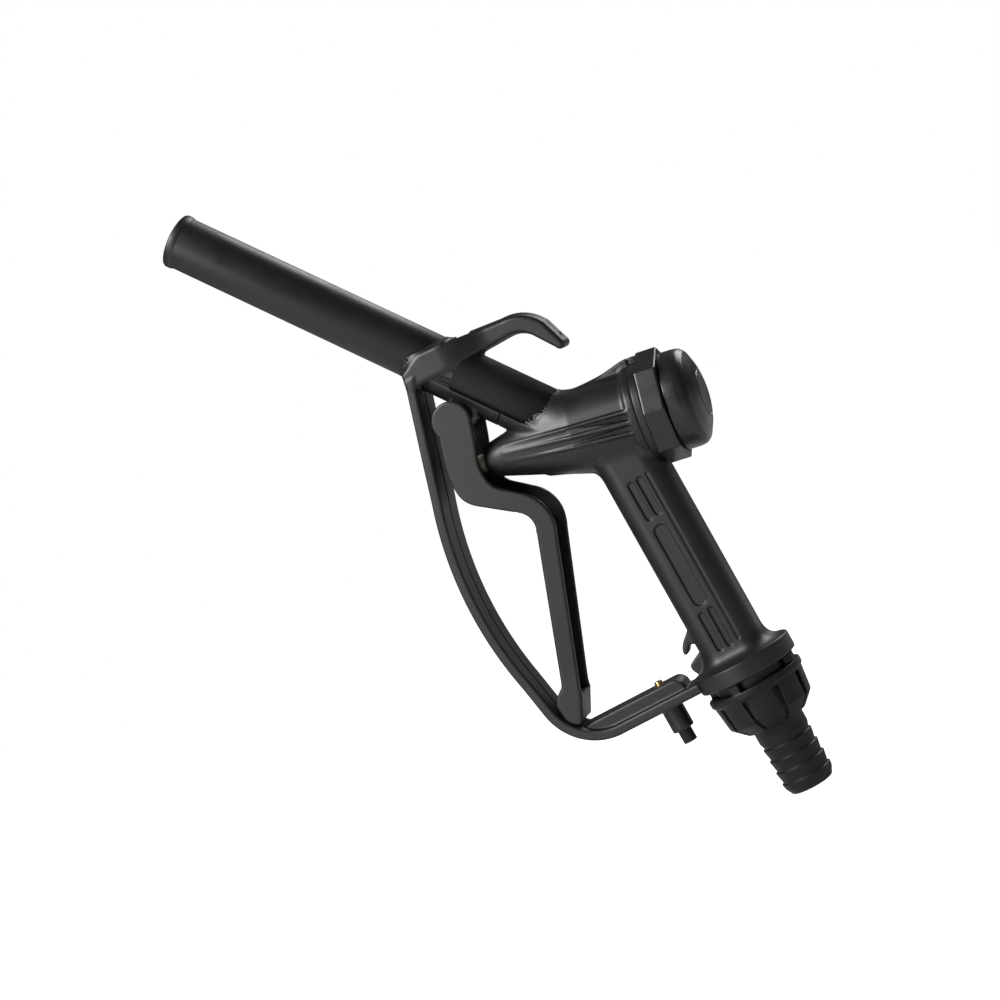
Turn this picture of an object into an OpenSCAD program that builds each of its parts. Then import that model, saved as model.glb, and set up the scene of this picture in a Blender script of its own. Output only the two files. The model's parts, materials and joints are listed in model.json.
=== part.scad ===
// Manual fuel nozzle: lever valve, hook and guard moulding, spout and hose coupling.
// Z runs up the grip. The hose tail points down -Z. XZ is the plane of symmetry.
// All sizes are in millimetres.

/* [Spout] */
// spout tube outside diameter
spout_od = 25; // [18:0.5:32]
// spout tube bore
spout_bore = 20; // [14:0.5:27]
// spout length, from the barrel axis to the tip
spout_reach = 211.5; // [120:0.5:300]
// spout lean from the grip axis, degrees
spout_lean = 36.3; // [20:0.1:60]
// distance from the grip axis to the spout joint, along the barrel
spout_offset = 13.5; // [8:0.1:20]
// rim bead diameter
rim_d = 26.2; // [20:0.1:34]
// rim bead width
rim_w = 3.8; // [2:0.1:8]

/* [Barrel] */
// height of the barrel axis where it meets the grip axis
axis_h = 188.5; // [150:0.5:230]
// fall of the barrel towards the cap, degrees
barrel_tilt = 11; // [0:0.5:20]
// barrel diameter
barrel_d = 38.8; // [30:0.1:50]
// nose diameter at the stem
nose_d = 14.6; // [12:0.1:20]
// nose length from the grip axis
nose_len = 60; // [50:0.5:75]
// length of the cone from the nose face
cone_len = 45; // [30:0.5:55]
// end flange diameter
end_flange_d = 41.6; // [40:0.1:50]
// gusset fin thickness
fin_w = 5; // [3:0.5:8]
// height of the side ribs over the barrel
rib_h = 1.1; // [0.5:0.1:1.3]

/* [Cap] */
// clamp ring diameter
ring_d = 45; // [42:0.1:50]
// octagon across its corners
oct_d = 52.4; // [48:0.1:58]
// domed cover diameter
cover_d = 45.6; // [40:0.1:50]
// badge disc diameter
badge_d = 21; // [12:0.5:30]

/* [Grip] */
// grip width, front to back
grip_x = 29.6; // [24:0.1:36]
// grip thickness, side to side
grip_y = 27; // [22:0.1:34]
// inlet bore
inlet_d = 17; // [12:0.5:20]
// base flange diameter
base_d = 48; // [44:0.5:54]

/* [Guard] */
// width of the guard at the collar
guard_top_w = 28; // [24:0.5:34]
// width of the guard at the foot
guard_low_w = 22; // [18:0.5:30]
// thickness of the guard strip
strip_t = 4.8; // [3:0.1:8]
// width of the hook
hook_w = 14; // [8:0.5:20]
// width of the lever bracket
bracket_w = 20; // [14:0.5:22]

/* [Lever] */
// pivot position ahead of the grip axis
pivot_x = -61.5; // [-70:0.1:-50]
// pivot height
pivot_z = 224; // [210:0.1:240]
// lever width at the pivot
lever_top_w = 28; // [24:0.5:32]
// lever width at the foot
lever_low_w = 22; // [18:0.5:28]
// lever plate thickness
plate_t = 2.6; // [2:0.1:4]
// lever front web thickness
web_t = 2.6; // [2:0.1:4]
// pivot pin diameter
pin_d = 5; // [3:0.1:8]

/* [Latch] */
// latch axis ahead of the grip axis
latch_x = -40; // [-50:0.1:-30]
// latch boss diameter
boss_d = 10.6; // [9:0.1:14]
// latch button diameter
button_d = 6.6; // [5:0.1:8]
// brass tip diameter
tip_d = 4; // [2:0.1:5]

/* [Stem] */
// stem diameter
stem_d = 8; // [6:0.1:10]

/* [Coupling] */
// coupling nut rim diameter
nut_rim_d = 46.4; // [44:0.1:54]
// coupling nut body diameter at the top
nut_d = 44.6; // [40:0.1:50]
// hose tail crest diameter
tail_d = 24.6; // [18:0.1:30]
// hose tail bore
tail_bore = 16; // [10:0.1:20]
// barb pitch
barb_p = 5.9; // [4:0.1:8]

/* [Hidden] */
$fn = 96;
e = 0.01;
fit = 0.05;
spout_r = spout_od / 2;
barrel_r = barrel_d / 2;
tail_r = tail_d / 2;
chamber_r = 15.5;
// where the spout's full bore begins, from the barrel axis
spout_shoulder = 22.5;
arm_z = 61;
rib_top = 72;
long_r = 175;
long_x = 76;
long_z = 137;
corner_r = 28.8;
corner_x = -64.1;
corner_z = arm_z + corner_r;
hook_x = -20;
hook_z = 233;

// frames

// local +Z along the barrel, towards the cap; 0 at the grip axis
module on_barrel() {
  translate([0, 0, axis_h]) rotate([0, 90 + barrel_tilt, 0]) children();
}

// local +Z along the spout, towards the tip; 0 at the barrel axis
module on_spout() {
  on_barrel() translate([0, 0, -spout_offset]) rotate([0, -90 - barrel_tilt - spout_lean, 0]) children();
}

// a flat shape in the XZ plane, given thickness w across Y
module plate(w) {
  rotate([90, 0, 0]) translate([0, 0, -w / 2]) linear_extrude(w) children();
}

// a cylinder across Y
module across(x, z, r, w) {
  translate([x, w / 2, z]) rotate([90, 0, 0]) cylinder(h = w, r = r);
}

// a curved strip about an axis across Y; angles counted from +X towards +Z
module arc_bar(x, z, r0, r1, a0, a1, w) {
  translate([x, 0, z]) rotate([90, 0, 0]) rotate([0, 0, a0]) rotate_extrude(angle = a1 - a0)
    translate([r0, -w / 2]) square([r1 - r0, w]);
}

// a point at radius r and angle a round a centre
function on_arc(x, z, r, a) = [x + r * cos(a), z + r * sin(a)];

// hollow cylinder between two heights
module tube(r1, r0, z0, z1) {
  difference() {
    translate([0, 0, z0]) cylinder(h = z1 - z0, r = r1);
    translate([0, 0, z0 - 1]) cylinder(h = z1 - z0 + 2, r = r0);
  }
}

// ring of round section
module torus(r, t, z) {
  translate([0, 0, z]) rotate_extrude() translate([r, 0]) circle(t, $fn = 24);
}

// helical spring of round wire, r to the wire's centre, n turns
module spring(r, t, z0, z1, n) {
  m = 8;
  s = n * 20;
  rise = z1 - z0 - 2 * t;
  pts = [for (i = [0 : s]) for (j = [0 : m - 1])
         let (a = 360 * n * i / s, q = 360 * j / m, d = r + t * cos(q))
         [d * cos(a), d * sin(a), z0 + t + rise * i / s + t * sin(q)]];
  sides = [for (i = [0 : s - 1]) for (j = [0 : m - 1])
           let (k = (j + 1) % m) [i * m + j, (i + 1) * m + j, (i + 1) * m + k, i * m + k]];
  ends = [[for (j = [0 : m - 1]) j], [for (j = [0 : m - 1]) s * m + m - 1 - j]];
  polyhedron(points = pts, faces = concat(sides, ends), convexity = 10);
}

// the spout's outer shape with its stepped inner end
module spout_plug(grow) {
  difference() {
    on_spout() translate([0, 0, -12]) cylinder(h = spout_reach + 12, r = spout_r + grow);
    on_barrel() translate([-7.5 + grow, -40, -80]) cube([80, 80, 160]);
    on_barrel() translate([-80, -40, -12 + grow]) cube([160, 80, 80]);
  }
}

// body: nose, barrel, fin, ribs, hollow grip, base flange

module grip_block(z0, z1) {
  r = 9;
  h = z1 - z0;
  translate([-grip_x / 2 + r, -grip_y / 2, z0]) cube([grip_x - 2 * r, grip_y, h]);
  translate([-grip_x / 2, -grip_y / 2 + r, z0]) cube([grip_x, grip_y - 2 * r, h]);
  for (sx = [-1, 1]) {
    for (sy = [-1, 1]) {
      translate([sx * (grip_x / 2 - r), sy * (grip_y / 2 - r), z0]) cylinder(h = h, r = r);
    }
  }
}

module side_panel(x, z0, z1, w, deep) {
  for (s = [-1, 1]) {
    translate([x, s * grip_y / 2, 0]) {
      translate([0, 0, z0]) rotate([90, 0, 0]) cylinder(h = 2 * deep, r = w / 2, center = true);
      translate([0, 0, z1]) rotate([90, 0, 0]) cylinder(h = 2 * deep, r = w / 2, center = true);
      translate([-w / 2, -deep, z0]) cube([w, 2 * deep, z1 - z0]);
    }
  }
}

module barrel_solid() {
  on_barrel() {
    translate([0, 0, -nose_len]) cylinder(h = cone_len, r1 = nose_d / 2, r2 = barrel_r);
    translate([0, 0, cone_len - nose_len]) cylinder(h = 13.3 + nose_len - cone_len, r = barrel_r);
    translate([0, 0, 11.3]) cylinder(h = 2, r1 = barrel_r, r2 = end_flange_d / 2);
    translate([0, 0, 13.3]) cylinder(h = 3.7, r = end_flange_d / 2);
  }
  // top gusset fin
  on_barrel() plate(fin_w)
    polygon([[-10, -18], [-17.7, -16.2], [-18.6, -10.7], [-21.8, 3.9], [-24.6, 13], [-25.2, 16], [-25.2, 17],
             [-10, 17]]);
  // ribs that fan out along both sides, from the nose to the flange
  on_barrel() intersection() {
    union() {
      translate([0, 0, -nose_len]) cylinder(h = cone_len, r1 = nose_d / 2 - 0.6, r2 = barrel_r + rib_h);
      translate([0, 0, cone_len - nose_len]) cylinder(h = 15 + nose_len - cone_len, r = barrel_r + rib_h);
    }
    union() {
      plate(60) polygon([[-5.6, -48], [-4.8, -48], [-2.7, 14], [-4.2, 14]]);
      plate(60) polygon([[-2.4, -46], [-1.5, -46], [2.7, 14], [0.7, 14]]);
      plate(60) polygon([[2, -48], [2.8, -48], [7.5, 14], [5.9, 14]]);
    }
  }
}

module front_lugs() {
  // open hook
  across(-20.2, 80.9, 1.8, 8);
  plate(8) polygon([[-14, 92], [-15.6, 88], [-19.6, 85.4], [-22, 80.9], [-18.4, 80.9], [-17, 82.6], [-14, 81]]);
  // lug
  across(-20.6, 72.2, 1.8, 8);
  plate(8) polygon([[-14, 77.6], [-17.4, 76.4], [-21.6, 73.7], [-20.6, 70.4], [-18.4, 67], [-14, 66]]);
}

// half sleeve under the spout, between two stations along it
module under_sleeve(u0, u1) {
  on_spout() intersection() {
    translate([0, 0, u0]) cylinder(h = u1 - u0, r = spout_r + 1.5);
    translate([-20, -20, u0 - 1]) cube([14, 40, u1 - u0 + 2]);
  }
}

// tapered recesses in both sides of the barrel
module side_slots() {
  on_barrel() for (s = [-1, 1]) translate([0, s * 19.4, 0]) {
    plate(3.6) polygon([[-4, -12], [-3.4, -12], [0.4, 12.3], [0, 12.9], [-2.2, 12.9], [-2.6, 12.3]]);
    plate(3.6) polygon([[2.8, -8], [3.5, -8], [5.7, 12.3], [5.3, 12.9], [3.4, 12.9], [3, 12.3]]);
  }
}

module body_solid() {
  barrel_solid();
  under_sleeve(16, 35.9);
  // the grip's top corner stops short of the clamp ring
  difference() {
    grip_block(66, axis_h - 4);
    on_barrel() translate([0, 0, 16.9]) cylinder(h = 20, r = ring_d / 2 + 0.2);
  }
  // throat web under the barrel
  plate(8) polygon([[-36, 181.4], [-27, 177.6], [-16.5, 172], [-14.5, 168], [-13, 160], [0, 160], [0, 185],
                    [-34, 187]]);
  // base flange and its flare
  translate([0, 0, 59.2]) cylinder(h = 7.1, r = base_d / 2);
  translate([0, 0, 66.3]) cylinder(h = 1, r1 = base_d / 2, r2 = base_d / 2 - 1);
  translate([0, 0, 67]) cylinder(h = 2.2, r1 = 20.5, r2 = 17);
  translate([0, 0, 69]) cylinder(h = 4.5, r1 = 17.2, r2 = 14.6);
  // inlet spigot
  translate([0, 0, 45]) cylinder(h = 15, r = 18);
  front_lugs();
}

module body() {
  color([0.13, 0.12, 0.115]) difference() {
    body_solid();
    on_barrel() {
      // stem hole, bush pocket, front chamber, seat pocket, rear chamber
      translate([0, 0, -nose_len - 1]) cylinder(h = 40, r = stem_d / 2 + 0.3);
      translate([0, 0, -52]) cylinder(h = 20, r = 6.2);
      translate([0, 0, -34]) cylinder(h = 26, r = 7.2);
      translate([0, 0, -9]) cylinder(h = 5, r = 13);
      translate([0, 0, -5]) cylinder(h = 30, r = chamber_r);
    }
    // spout socket and its way into the front chamber
    spout_plug(fit);
    difference() {
      on_spout() translate([0, 0, -1]) cylinder(h = 30, r = spout_bore / 2 - 1.5);
      on_barrel() translate([-4, -40, -80]) cube([80, 80, 160]);
      on_barrel() translate([-80, -40, -12.5]) cube([160, 80, 90]);
    }
    // inlet
    translate([0, 0, 40]) cylinder(h = axis_h - 12.5 - 40, r = inlet_d / 2);
    side_slots();
    // oblong grip recesses
    side_panel(-2.6, 143, 159, 3.4, 0.9);
    side_panel(2.2, 143.5, 159.5, 3.4, 0.9);
    side_panel(-0.8, 100, 134.5, 6.8, 0.9);
    side_panel(-3.6, 76, 92.5, 3, 0.9);
    side_panel(1.4, 76, 93, 3, 0.9);
    // pocket for the guard's tenon
    translate([-base_d / 2 - 1, -5, arm_z - 0.05]) cube([7.1, 10, strip_t + 0.1]);
  }
}

// guard: collar, hook, loop, arm, lever bracket and latch boss

module front_taper() {
  h1 = guard_top_w / 2;
  h0 = guard_low_w / 2;
  translate([-120, 0, 0]) rotate([90, 0, 90]) linear_extrude(140)
    polygon([[-h0, 30], [h0, 30], [h0, 100], [h1, 215], [h1, 280], [-h1, 280], [-h1, 215], [-h0, 100]]);
}

module hook_taper() {
  h1 = guard_top_w / 2;
  h0 = hook_w / 2;
  translate([0, 0, 30]) linear_extrude(240)
    polygon([[-120, -h1], [-48, -h1], [-31, -h0], [10, -h0], [10, h0], [-31, h0], [-48, h1], [-120, h1]]);
}

// the straight pieces reach into the arcs at mid thickness, so that they join;
// all are made wider than the tapers that trim them
module guard_loop() {
  w = guard_top_w + 4;
  a0 = 160.6;
  a1 = 192;
  half_t = strip_t / 2;
  // straight leg
  plate(w) polygon([on_arc(long_x, long_z, long_r, a0), [-71, 245.5], [-66, 245.5],
                    on_arc(long_x, long_z, long_r - strip_t, a0),
                    on_arc(long_x, long_z, long_r - half_t, a0 + 2)]);
  arc_bar(long_x, long_z, long_r - strip_t, long_r, a0, a1, w);
  // link between the two arcs
  plate(w) polygon([on_arc(long_x, long_z, long_r, a1), on_arc(corner_x, corner_z, corner_r, a1),
                    on_arc(corner_x, corner_z, corner_r - half_t, a1 + 8),
                    on_arc(corner_x, corner_z, corner_r - strip_t, a1),
                    on_arc(long_x, long_z, long_r - strip_t, a1),
                    on_arc(long_x, long_z, long_r - half_t, a1 - 2)]);
  arc_bar(corner_x, corner_z, corner_r - strip_t, corner_r, a1, 270, w);
}

module lower_arm() {
  difference() {
    plate(guard_low_w) polygon([[corner_x, arm_z], [-20, arm_z], [-20, arm_z + strip_t],
                                [corner_x, arm_z + strip_t], [corner_x - 4, arm_z + strip_t / 2 + 0.4]]);
    translate([0, 0, arm_z - 1]) cylinder(h = strip_t + 2, r = base_d / 2);
  }
  // tenon in the base flange
  translate([-26, -4.95, arm_z]) cube([7.9, 9.9, strip_t]);
  // centre rib
  intersection() {
    plate(15) polygon([[-84, arm_z + 2], [-30, arm_z + 2], [-27.8, 64.6], [-28.4, 69.8], [-31, rib_top],
                       [-84, rib_top]]);
    union() {
      across(corner_x, corner_z, corner_r - 1, 40);
      translate([corner_x, -10, arm_z]) cube([60, 20, 20]);
    }
  }
  translate([latch_x, 0, 49]) cylinder(h = 14, r = boss_d / 2);
}

module collar_and_hook() {
  intersection() {
    plate(guard_top_w + 4) polygon(concat(
      [[-71, 245], [-72, 253.5], [-60, 258.5], [-45, 257.7]],
      [for (a = [90 : -7.5 : 30]) on_arc(hook_x, hook_z, 20, a)],
      [for (a = [15 : -30 : -165]) on_arc(-1.2, 230.6, 2.4, a)],
      [for (a = [30 : 7.5 : 90]) on_arc(hook_x, hook_z, 12, a)],
      [[-66, 245]]));
    hook_taper();
  }
  // web under the hook root
  plate(6) polygon([[-42, 246], [-37.6, 239.6], [-36.2, 242.2], [-35.8, 246]]);
}

module lever_bracket() {
  under_sleeve(36, 82);
  on_spout() plate(bracket_w)
    polygon([[-5, 60.5], [-14.2, 60.5], [-22.2, 60.8], [-25, 58.5], [-19.45, 48.1], [-12, 46.5], [-5, 46.5]]);
  across(pivot_x, pivot_z, 7, bracket_w);
}

module guard() {
  color([0.135, 0.125, 0.12]) difference() {
    union() {
      intersection() {
        guard_loop();
        front_taper();
      }
      lower_arm();
      collar_and_hook();
      lever_bracket();
    }
    on_spout() cylinder(h = 120, r = spout_r + fit);
    across(pivot_x, pivot_z, pin_d / 2 + fit, 60);
    // latch bore
    translate([latch_x, 0, 48]) cylinder(h = 18, r = 3.9);
    translate([latch_x, 0, 60]) cylinder(h = 20, r = tip_d / 2 + fit);
  }
}

// spout

module spout_tube() {
  color([0.14, 0.13, 0.125]) difference() {
    union() {
      spout_plug(0);
      on_spout() {
        translate([0, 0, spout_reach - rim_w]) cylinder(h = 0.8, r1 = spout_r, r2 = rim_d / 2);
        translate([0, 0, spout_reach - rim_w + 0.8]) cylinder(h = rim_w - 1.4, r = rim_d / 2);
        translate([0, 0, spout_reach - 0.6]) cylinder(h = 0.6, r1 = rim_d / 2, r2 = rim_d / 2 - 0.6);
      }
    }
    // narrow way in, then the full bore from a shoulder outwards
    on_spout() translate([0, 0, -20]) cylinder(h = 60, r = spout_bore / 2 - 1.5);
    on_spout() translate([0, 0, spout_shoulder]) cylinder(h = spout_reach, r = spout_bore / 2);
  }
}

// lever

module lever_taper(less) {
  h1 = lever_top_w / 2 - less;
  h0 = lever_low_w / 2 - less;
  translate([-120, 0, 0]) rotate([90, 0, 90]) linear_extrude(140)
    polygon([[-h0, 60], [h0, 60], [h0, 95], [h1, 180], [h1, 245], [-h1, 245], [-h1, 180], [-h0, 95]]);
}

module lever_side(w) {
  across(pivot_x, pivot_z, 9.4, w);
  // upper leg
  plate(w) polygon([[-70.3, 220.8], [-75.2, 205], [-75.9, 198], [-75.6, 193], [-74.4, 189], [-72.2, 185.9],
                    [-53.589, 172.375], [-47.86, 178.518], [-58.4, 188.2], [-60, 191.4], [-60.4, 196], [-59.8, 202],
                    [-56.4, 210], [-52.9, 219.9]]);
  // bend
  arc_bar(-60, 165.5, 9, 18.2, -21.8, 49.5, w);
  // lower leg and foot
  plate(w) polygon([[-51.128, 162.393], [-43.2, 159.617], [-70.9, 89.2], [-71.9, 85.5], [-78, 74.2], [-79.8, 73.8],
                    [-82.9, 76], [-84.5, 79], [-85.2, 86.3], [-83.6, 89.4], [-78.4, 93.2]]);
}

module lever() {
  color([0.13, 0.12, 0.115]) {
    difference() {
      intersection() {
        lever_side(lever_top_w);
        lever_taper(0);
      }
      // channel, open towards the grip
      intersection() {
        union() {
          translate([web_t, 0, 0.9]) lever_side(lever_top_w);
          translate([-90, -20, 212]) cube([60, 40, 30]);
          translate([-90, -20, 70]) cube([30, 40, 11]);
        }
        lever_taper(plate_t);
      }
      // blind pin holes
      across(pivot_x, pivot_z, pin_d / 2, lever_top_w - 1.6);
    }
    // catch plate at the foot
    intersection() {
      plate(lever_low_w - 2) polygon([[-78, 74.2], [-71.9, 85.5], [-74.2, 86.6], [-79.8, 75.4]]);
      lever_taper(1);
    }
  }
}

module lever_pin() {
  color([0.6, 0.6, 0.62]) across(pivot_x, pivot_z, pin_d / 2, lever_top_w - 1.6);
}

// valve

module valve_stem() {
  color([0.8, 0.77, 0.66]) on_barrel() {
    translate([0, 0, -69.8]) sphere(stem_d / 2, $fn = 48);
    translate([0, 0, -69.8]) cylinder(h = 65.1, r = stem_d / 2);
    translate([0, 0, -5]) cylinder(h = 9.6, r = 3);
  }
}

module stem_bush() {
  color([0.75, 0.72, 0.62]) on_barrel() tube(6.2, stem_d / 2 + fit, -46.4, -34.5);
}

module stem_orings() {
  color([0.06, 0.06, 0.06]) on_barrel() {
    torus(5.1, 1.05, -50.8);
    torus(5.1, 1.05, -47.9);
  }
}

module seat_ring() {
  color([0.62, 0.62, 0.63]) on_barrel() tube(13, 8, -9, -5.05);
}

module poppet() {
  color([0.62, 0.62, 0.63]) on_barrel() tube(10.5, 3, -2.7, 1);
}

module poppet_seal() {
  color([0.06, 0.06, 0.06]) on_barrel() tube(10, 3, -4.7, -2.7);
}

module poppet_nut() {
  color([0.62, 0.62, 0.63]) on_barrel() difference() {
    translate([0, 0, 1]) cylinder(h = 3.2, r = 5.6, $fn = 6);
    cylinder(h = 8, r = 3);
  }
}

module main_spring() {
  color([0.55, 0.55, 0.57]) on_barrel() spring(8, 0.8, 1.3, 26.9, 6);
}

// cap end

module clamp_ring() {
  color([0.13, 0.12, 0.115]) on_barrel() {
    tube(ring_d / 2, chamber_r, 17, 20.9);
    translate([-25.2, -fin_w / 2, 17]) cube([5, fin_w, 3.9]);
  }
}

module cap_plug() {
  color([0.14, 0.13, 0.125]) on_barrel() difference() {
    union() {
      translate([0, 0, 6]) cylinder(h = 16, r = chamber_r - fit);
      translate([0, 0, 20.9]) cylinder(h = 10.1, r = oct_d / 2, $fn = 8);
      translate([0, 0, 30]) cylinder(h = 6, r = 20.4);
    }
    translate([0, 0, 5]) cylinder(h = 22, r = 11);
    tube(20, 13.6, 8, 11);
  }
}

module cap_oring() {
  color([0.06, 0.06, 0.06]) on_barrel() torus(14.5, 0.9, 9.5);
}

module cap_cover() {
  r = cover_d / 2;
  color([0.14, 0.13, 0.125]) on_barrel() difference() {
    intersection() {
      union() {
        translate([0, 0, 31]) cylinder(h = 10, r = r);
        translate([0, 0, 41]) rotate_extrude() translate([r - 4, 0]) circle(4);
        translate([0, 0, 31]) cylinder(h = 20, r = r - 4);
      }
      translate([0, 0, 2]) sphere(45, $fn = 120);
    }
    translate([0, 0, 30]) cylinder(h = 11.5, r = 20.45);
    translate([0, 0, 44.4]) cylinder(h = 6, r = badge_d / 2 + 0.4);
  }
}

module cap_badge() {
  color([0.3, 0.3, 0.31]) on_barrel() {
    translate([0, 0, 44.4]) cylinder(h = 1.1, r = badge_d / 2);
    translate([0, 0, 45.5]) cylinder(h = 0.4, r1 = badge_d / 2, r2 = badge_d / 2 - 0.6);
  }
}

// latch

module latch_button() {
  color([0.12, 0.12, 0.12]) translate([latch_x, 0, 0]) {
    translate([0, 0, 42.5]) cylinder(h = 0.5, r1 = button_d / 2 - 0.5, r2 = button_d / 2);
    difference() {
      union() {
        translate([0, 0, 43]) cylinder(h = 13, r = button_d / 2);
        translate([0, 0, 51.6]) cylinder(h = 4.4, r = 3.6);
      }
      translate([0, 0, 50]) cylinder(h = 10, r = tip_d / 2);
    }
  }
}

module latch_tip() {
  color([0.85, 0.6, 0.3]) translate([latch_x, 0, 0]) {
    translate([0, 0, 50]) cylinder(h = 23.6, r = tip_d / 2);
    translate([0, 0, 73.6]) cylinder(h = 0.5, r1 = tip_d / 2, r2 = tip_d / 2 - 0.5);
  }
}

module latch_spring() {
  color([0.6, 0.6, 0.62]) translate([latch_x, 0, 0]) spring(3.05, 0.35, 56.1, 65.9, 5);
}

module latch_bush() {
  color([0.12, 0.12, 0.12]) translate([latch_x, 0, 0]) tube(3.9, button_d / 2 + fit, 49, 51.3);
}

// hose coupling

module coupling_nut() {
  color([0.12, 0.115, 0.11]) difference() {
    union() {
      translate([0, 0, 33]) cylinder(h = 6, r1 = 14.4, r2 = 20.8);
      translate([0, 0, 39 - e]) cylinder(h = 12.1, r1 = 20.8, r2 = nut_d / 2);
      translate([0, 0, 50.6]) cylinder(h = 0.8, r1 = nut_d / 2, r2 = nut_rim_d / 2);
      translate([0, 0, 51.4]) cylinder(h = 3.5, r = nut_rim_d / 2);
      // tabs that bridge the window slits
      for (a = [0 : 90 : 270]) rotate([0, 0, a - 104]) intersection() {
        translate([0, 0, 54]) cylinder(h = 5.1, r = nut_rim_d / 2 - 0.4);
        translate([10, -2.2, 54]) cube([20, 4.4, 5.1]);
      }
    }
    translate([0, 0, 38.6]) cylinder(h = 30, r = 18.05);
    translate([0, 0, 30]) cylinder(h = 20, r = tail_r + 0.3);
    // flutes
    for (i = [0 : 8]) rotate([0, 0, i * 40 - 100]) translate([19.6, -1.5, 36.5]) cube([6, 3, 13.5]);
  }
}

module barb(z, r0, r1, h) {
  translate([0, 0, z]) cylinder(h = h, r1 = r0, r2 = r1);
}

module hose_tail() {
  r = tail_r;
  color([0.13, 0.12, 0.115]) difference() {
    union() {
      barb(0, r - 2.2, r - 0.4, 3.4);
      barb(3.4 - e, r - 0.4, r, 2.6);
      for (i = [1 : 3]) barb(i * barb_p - 0.1, r - 0.9, r, barb_p + 0.1);
      barb(4 * barb_p - 0.1, r - 0.9, r, 3);
      barb(4 * barb_p + 2.9 - e, r, r, 6.4);
      barb(32.8, r - 0.3, r - 0.3, 6);
      translate([0, 0, 38.7]) cylinder(h = 3.8, r = 17.5);
    }
    translate([0, 0, -1]) cylinder(h = 50, r = tail_bore / 2);
  }
}

module tail_gasket() {
  color([0.07, 0.07, 0.07]) tube(17.5, 12.4, 42.5, 45);
}

module inlet_strainer() {
  color([0.6, 0.6, 0.6]) difference() {
    union() {
      translate([0, 0, 42.5]) cylinder(h = 1.2, r = 12);
      translate([0, 0, 43.6]) cylinder(h = 20, r = 7.4);
    }
    translate([0, 0, 42]) cylinder(h = 20.6, r = 6.6);
    for (a = [0 : 45 : 135]) rotate([0, 0, a]) translate([-10, -1.2, 47]) cube([20, 2.4, 13]);
  }
}

// draws one node, or all of them
body();
guard();
spout_tube();
lever();
lever_pin();
valve_stem();
stem_bush();
stem_orings();
seat_ring();
poppet();
poppet_seal();
poppet_nut();
main_spring();
clamp_ring();
cap_plug();
cap_oring();
cap_cover();
cap_badge();
latch_button();
latch_tip();
latch_spring();
latch_bush();
coupling_nut();
hose_tail();
tail_gasket();
inlet_strainer();
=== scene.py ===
"""The looks of the fuel nozzle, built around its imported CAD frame.

Moulded pieces are signed distance fields, so that every edge and junction is rounded as in a real moulding.
Turned pieces are lathed. Shapes are worked out in millimetres and stored in metres."""
import json
import math

import bpy
import numpy as np
import openvdb
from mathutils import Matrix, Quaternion, Vector


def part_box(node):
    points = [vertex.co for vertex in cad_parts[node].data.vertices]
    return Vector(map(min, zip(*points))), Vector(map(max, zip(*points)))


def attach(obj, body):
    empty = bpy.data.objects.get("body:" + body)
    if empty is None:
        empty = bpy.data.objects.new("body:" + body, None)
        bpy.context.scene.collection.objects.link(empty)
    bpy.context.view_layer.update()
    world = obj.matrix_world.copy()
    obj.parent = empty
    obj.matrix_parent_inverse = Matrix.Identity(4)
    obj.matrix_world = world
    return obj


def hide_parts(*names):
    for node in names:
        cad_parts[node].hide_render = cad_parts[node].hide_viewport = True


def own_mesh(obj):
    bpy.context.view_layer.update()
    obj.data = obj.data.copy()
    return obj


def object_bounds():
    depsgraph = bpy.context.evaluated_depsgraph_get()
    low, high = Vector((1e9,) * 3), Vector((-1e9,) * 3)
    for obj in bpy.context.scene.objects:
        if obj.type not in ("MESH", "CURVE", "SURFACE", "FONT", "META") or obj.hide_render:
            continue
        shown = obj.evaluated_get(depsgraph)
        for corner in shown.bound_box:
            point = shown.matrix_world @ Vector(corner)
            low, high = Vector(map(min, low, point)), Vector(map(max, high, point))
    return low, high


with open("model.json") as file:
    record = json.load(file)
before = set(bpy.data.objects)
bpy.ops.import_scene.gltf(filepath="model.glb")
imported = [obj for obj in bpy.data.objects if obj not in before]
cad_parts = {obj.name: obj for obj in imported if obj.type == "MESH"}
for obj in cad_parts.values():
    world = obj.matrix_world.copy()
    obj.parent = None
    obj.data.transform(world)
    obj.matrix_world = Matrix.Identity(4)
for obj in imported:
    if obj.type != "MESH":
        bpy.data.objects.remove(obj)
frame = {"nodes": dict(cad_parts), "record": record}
cad_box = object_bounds()

MM = 1000.0
record = frame["record"]
joints = {j["name"]: j for j in record["behaviour"]["joints"]}
mounts = {m["name"]: m for m in record["mounts"]}
body_of = {n: body for body, members in record["behaviour"]["bodies"].items() for n in members}
COARSE = 1.0


def box_mm(node):
    """A CAD node's lowest and highest corners, in millimetres."""
    low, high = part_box(node)
    return np.array(low) * MM, np.array(high) * MM


# ---------------------------------------------------------------- frames


class Line:
    """An axis in the plane of symmetry: how far along it a point is, and how far off it, to its left."""

    def __init__(self, origin, direction):
        self.origin = np.array(origin, float)
        self.direction = np.array(direction, float) / np.hypot(*direction)

    def along(self, x, z):
        return (x - self.origin[0]) * self.direction[0] + (z - self.origin[1]) * self.direction[1]

    def off(self, x, z):
        return (z - self.origin[1]) * self.direction[0] - (x - self.origin[0]) * self.direction[1]

    def point(self, t):
        return self.origin + t * self.direction


def flat(vector):
    """The X and Z of a row vector."""
    return np.array([vector[0], vector[2]], float)


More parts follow.
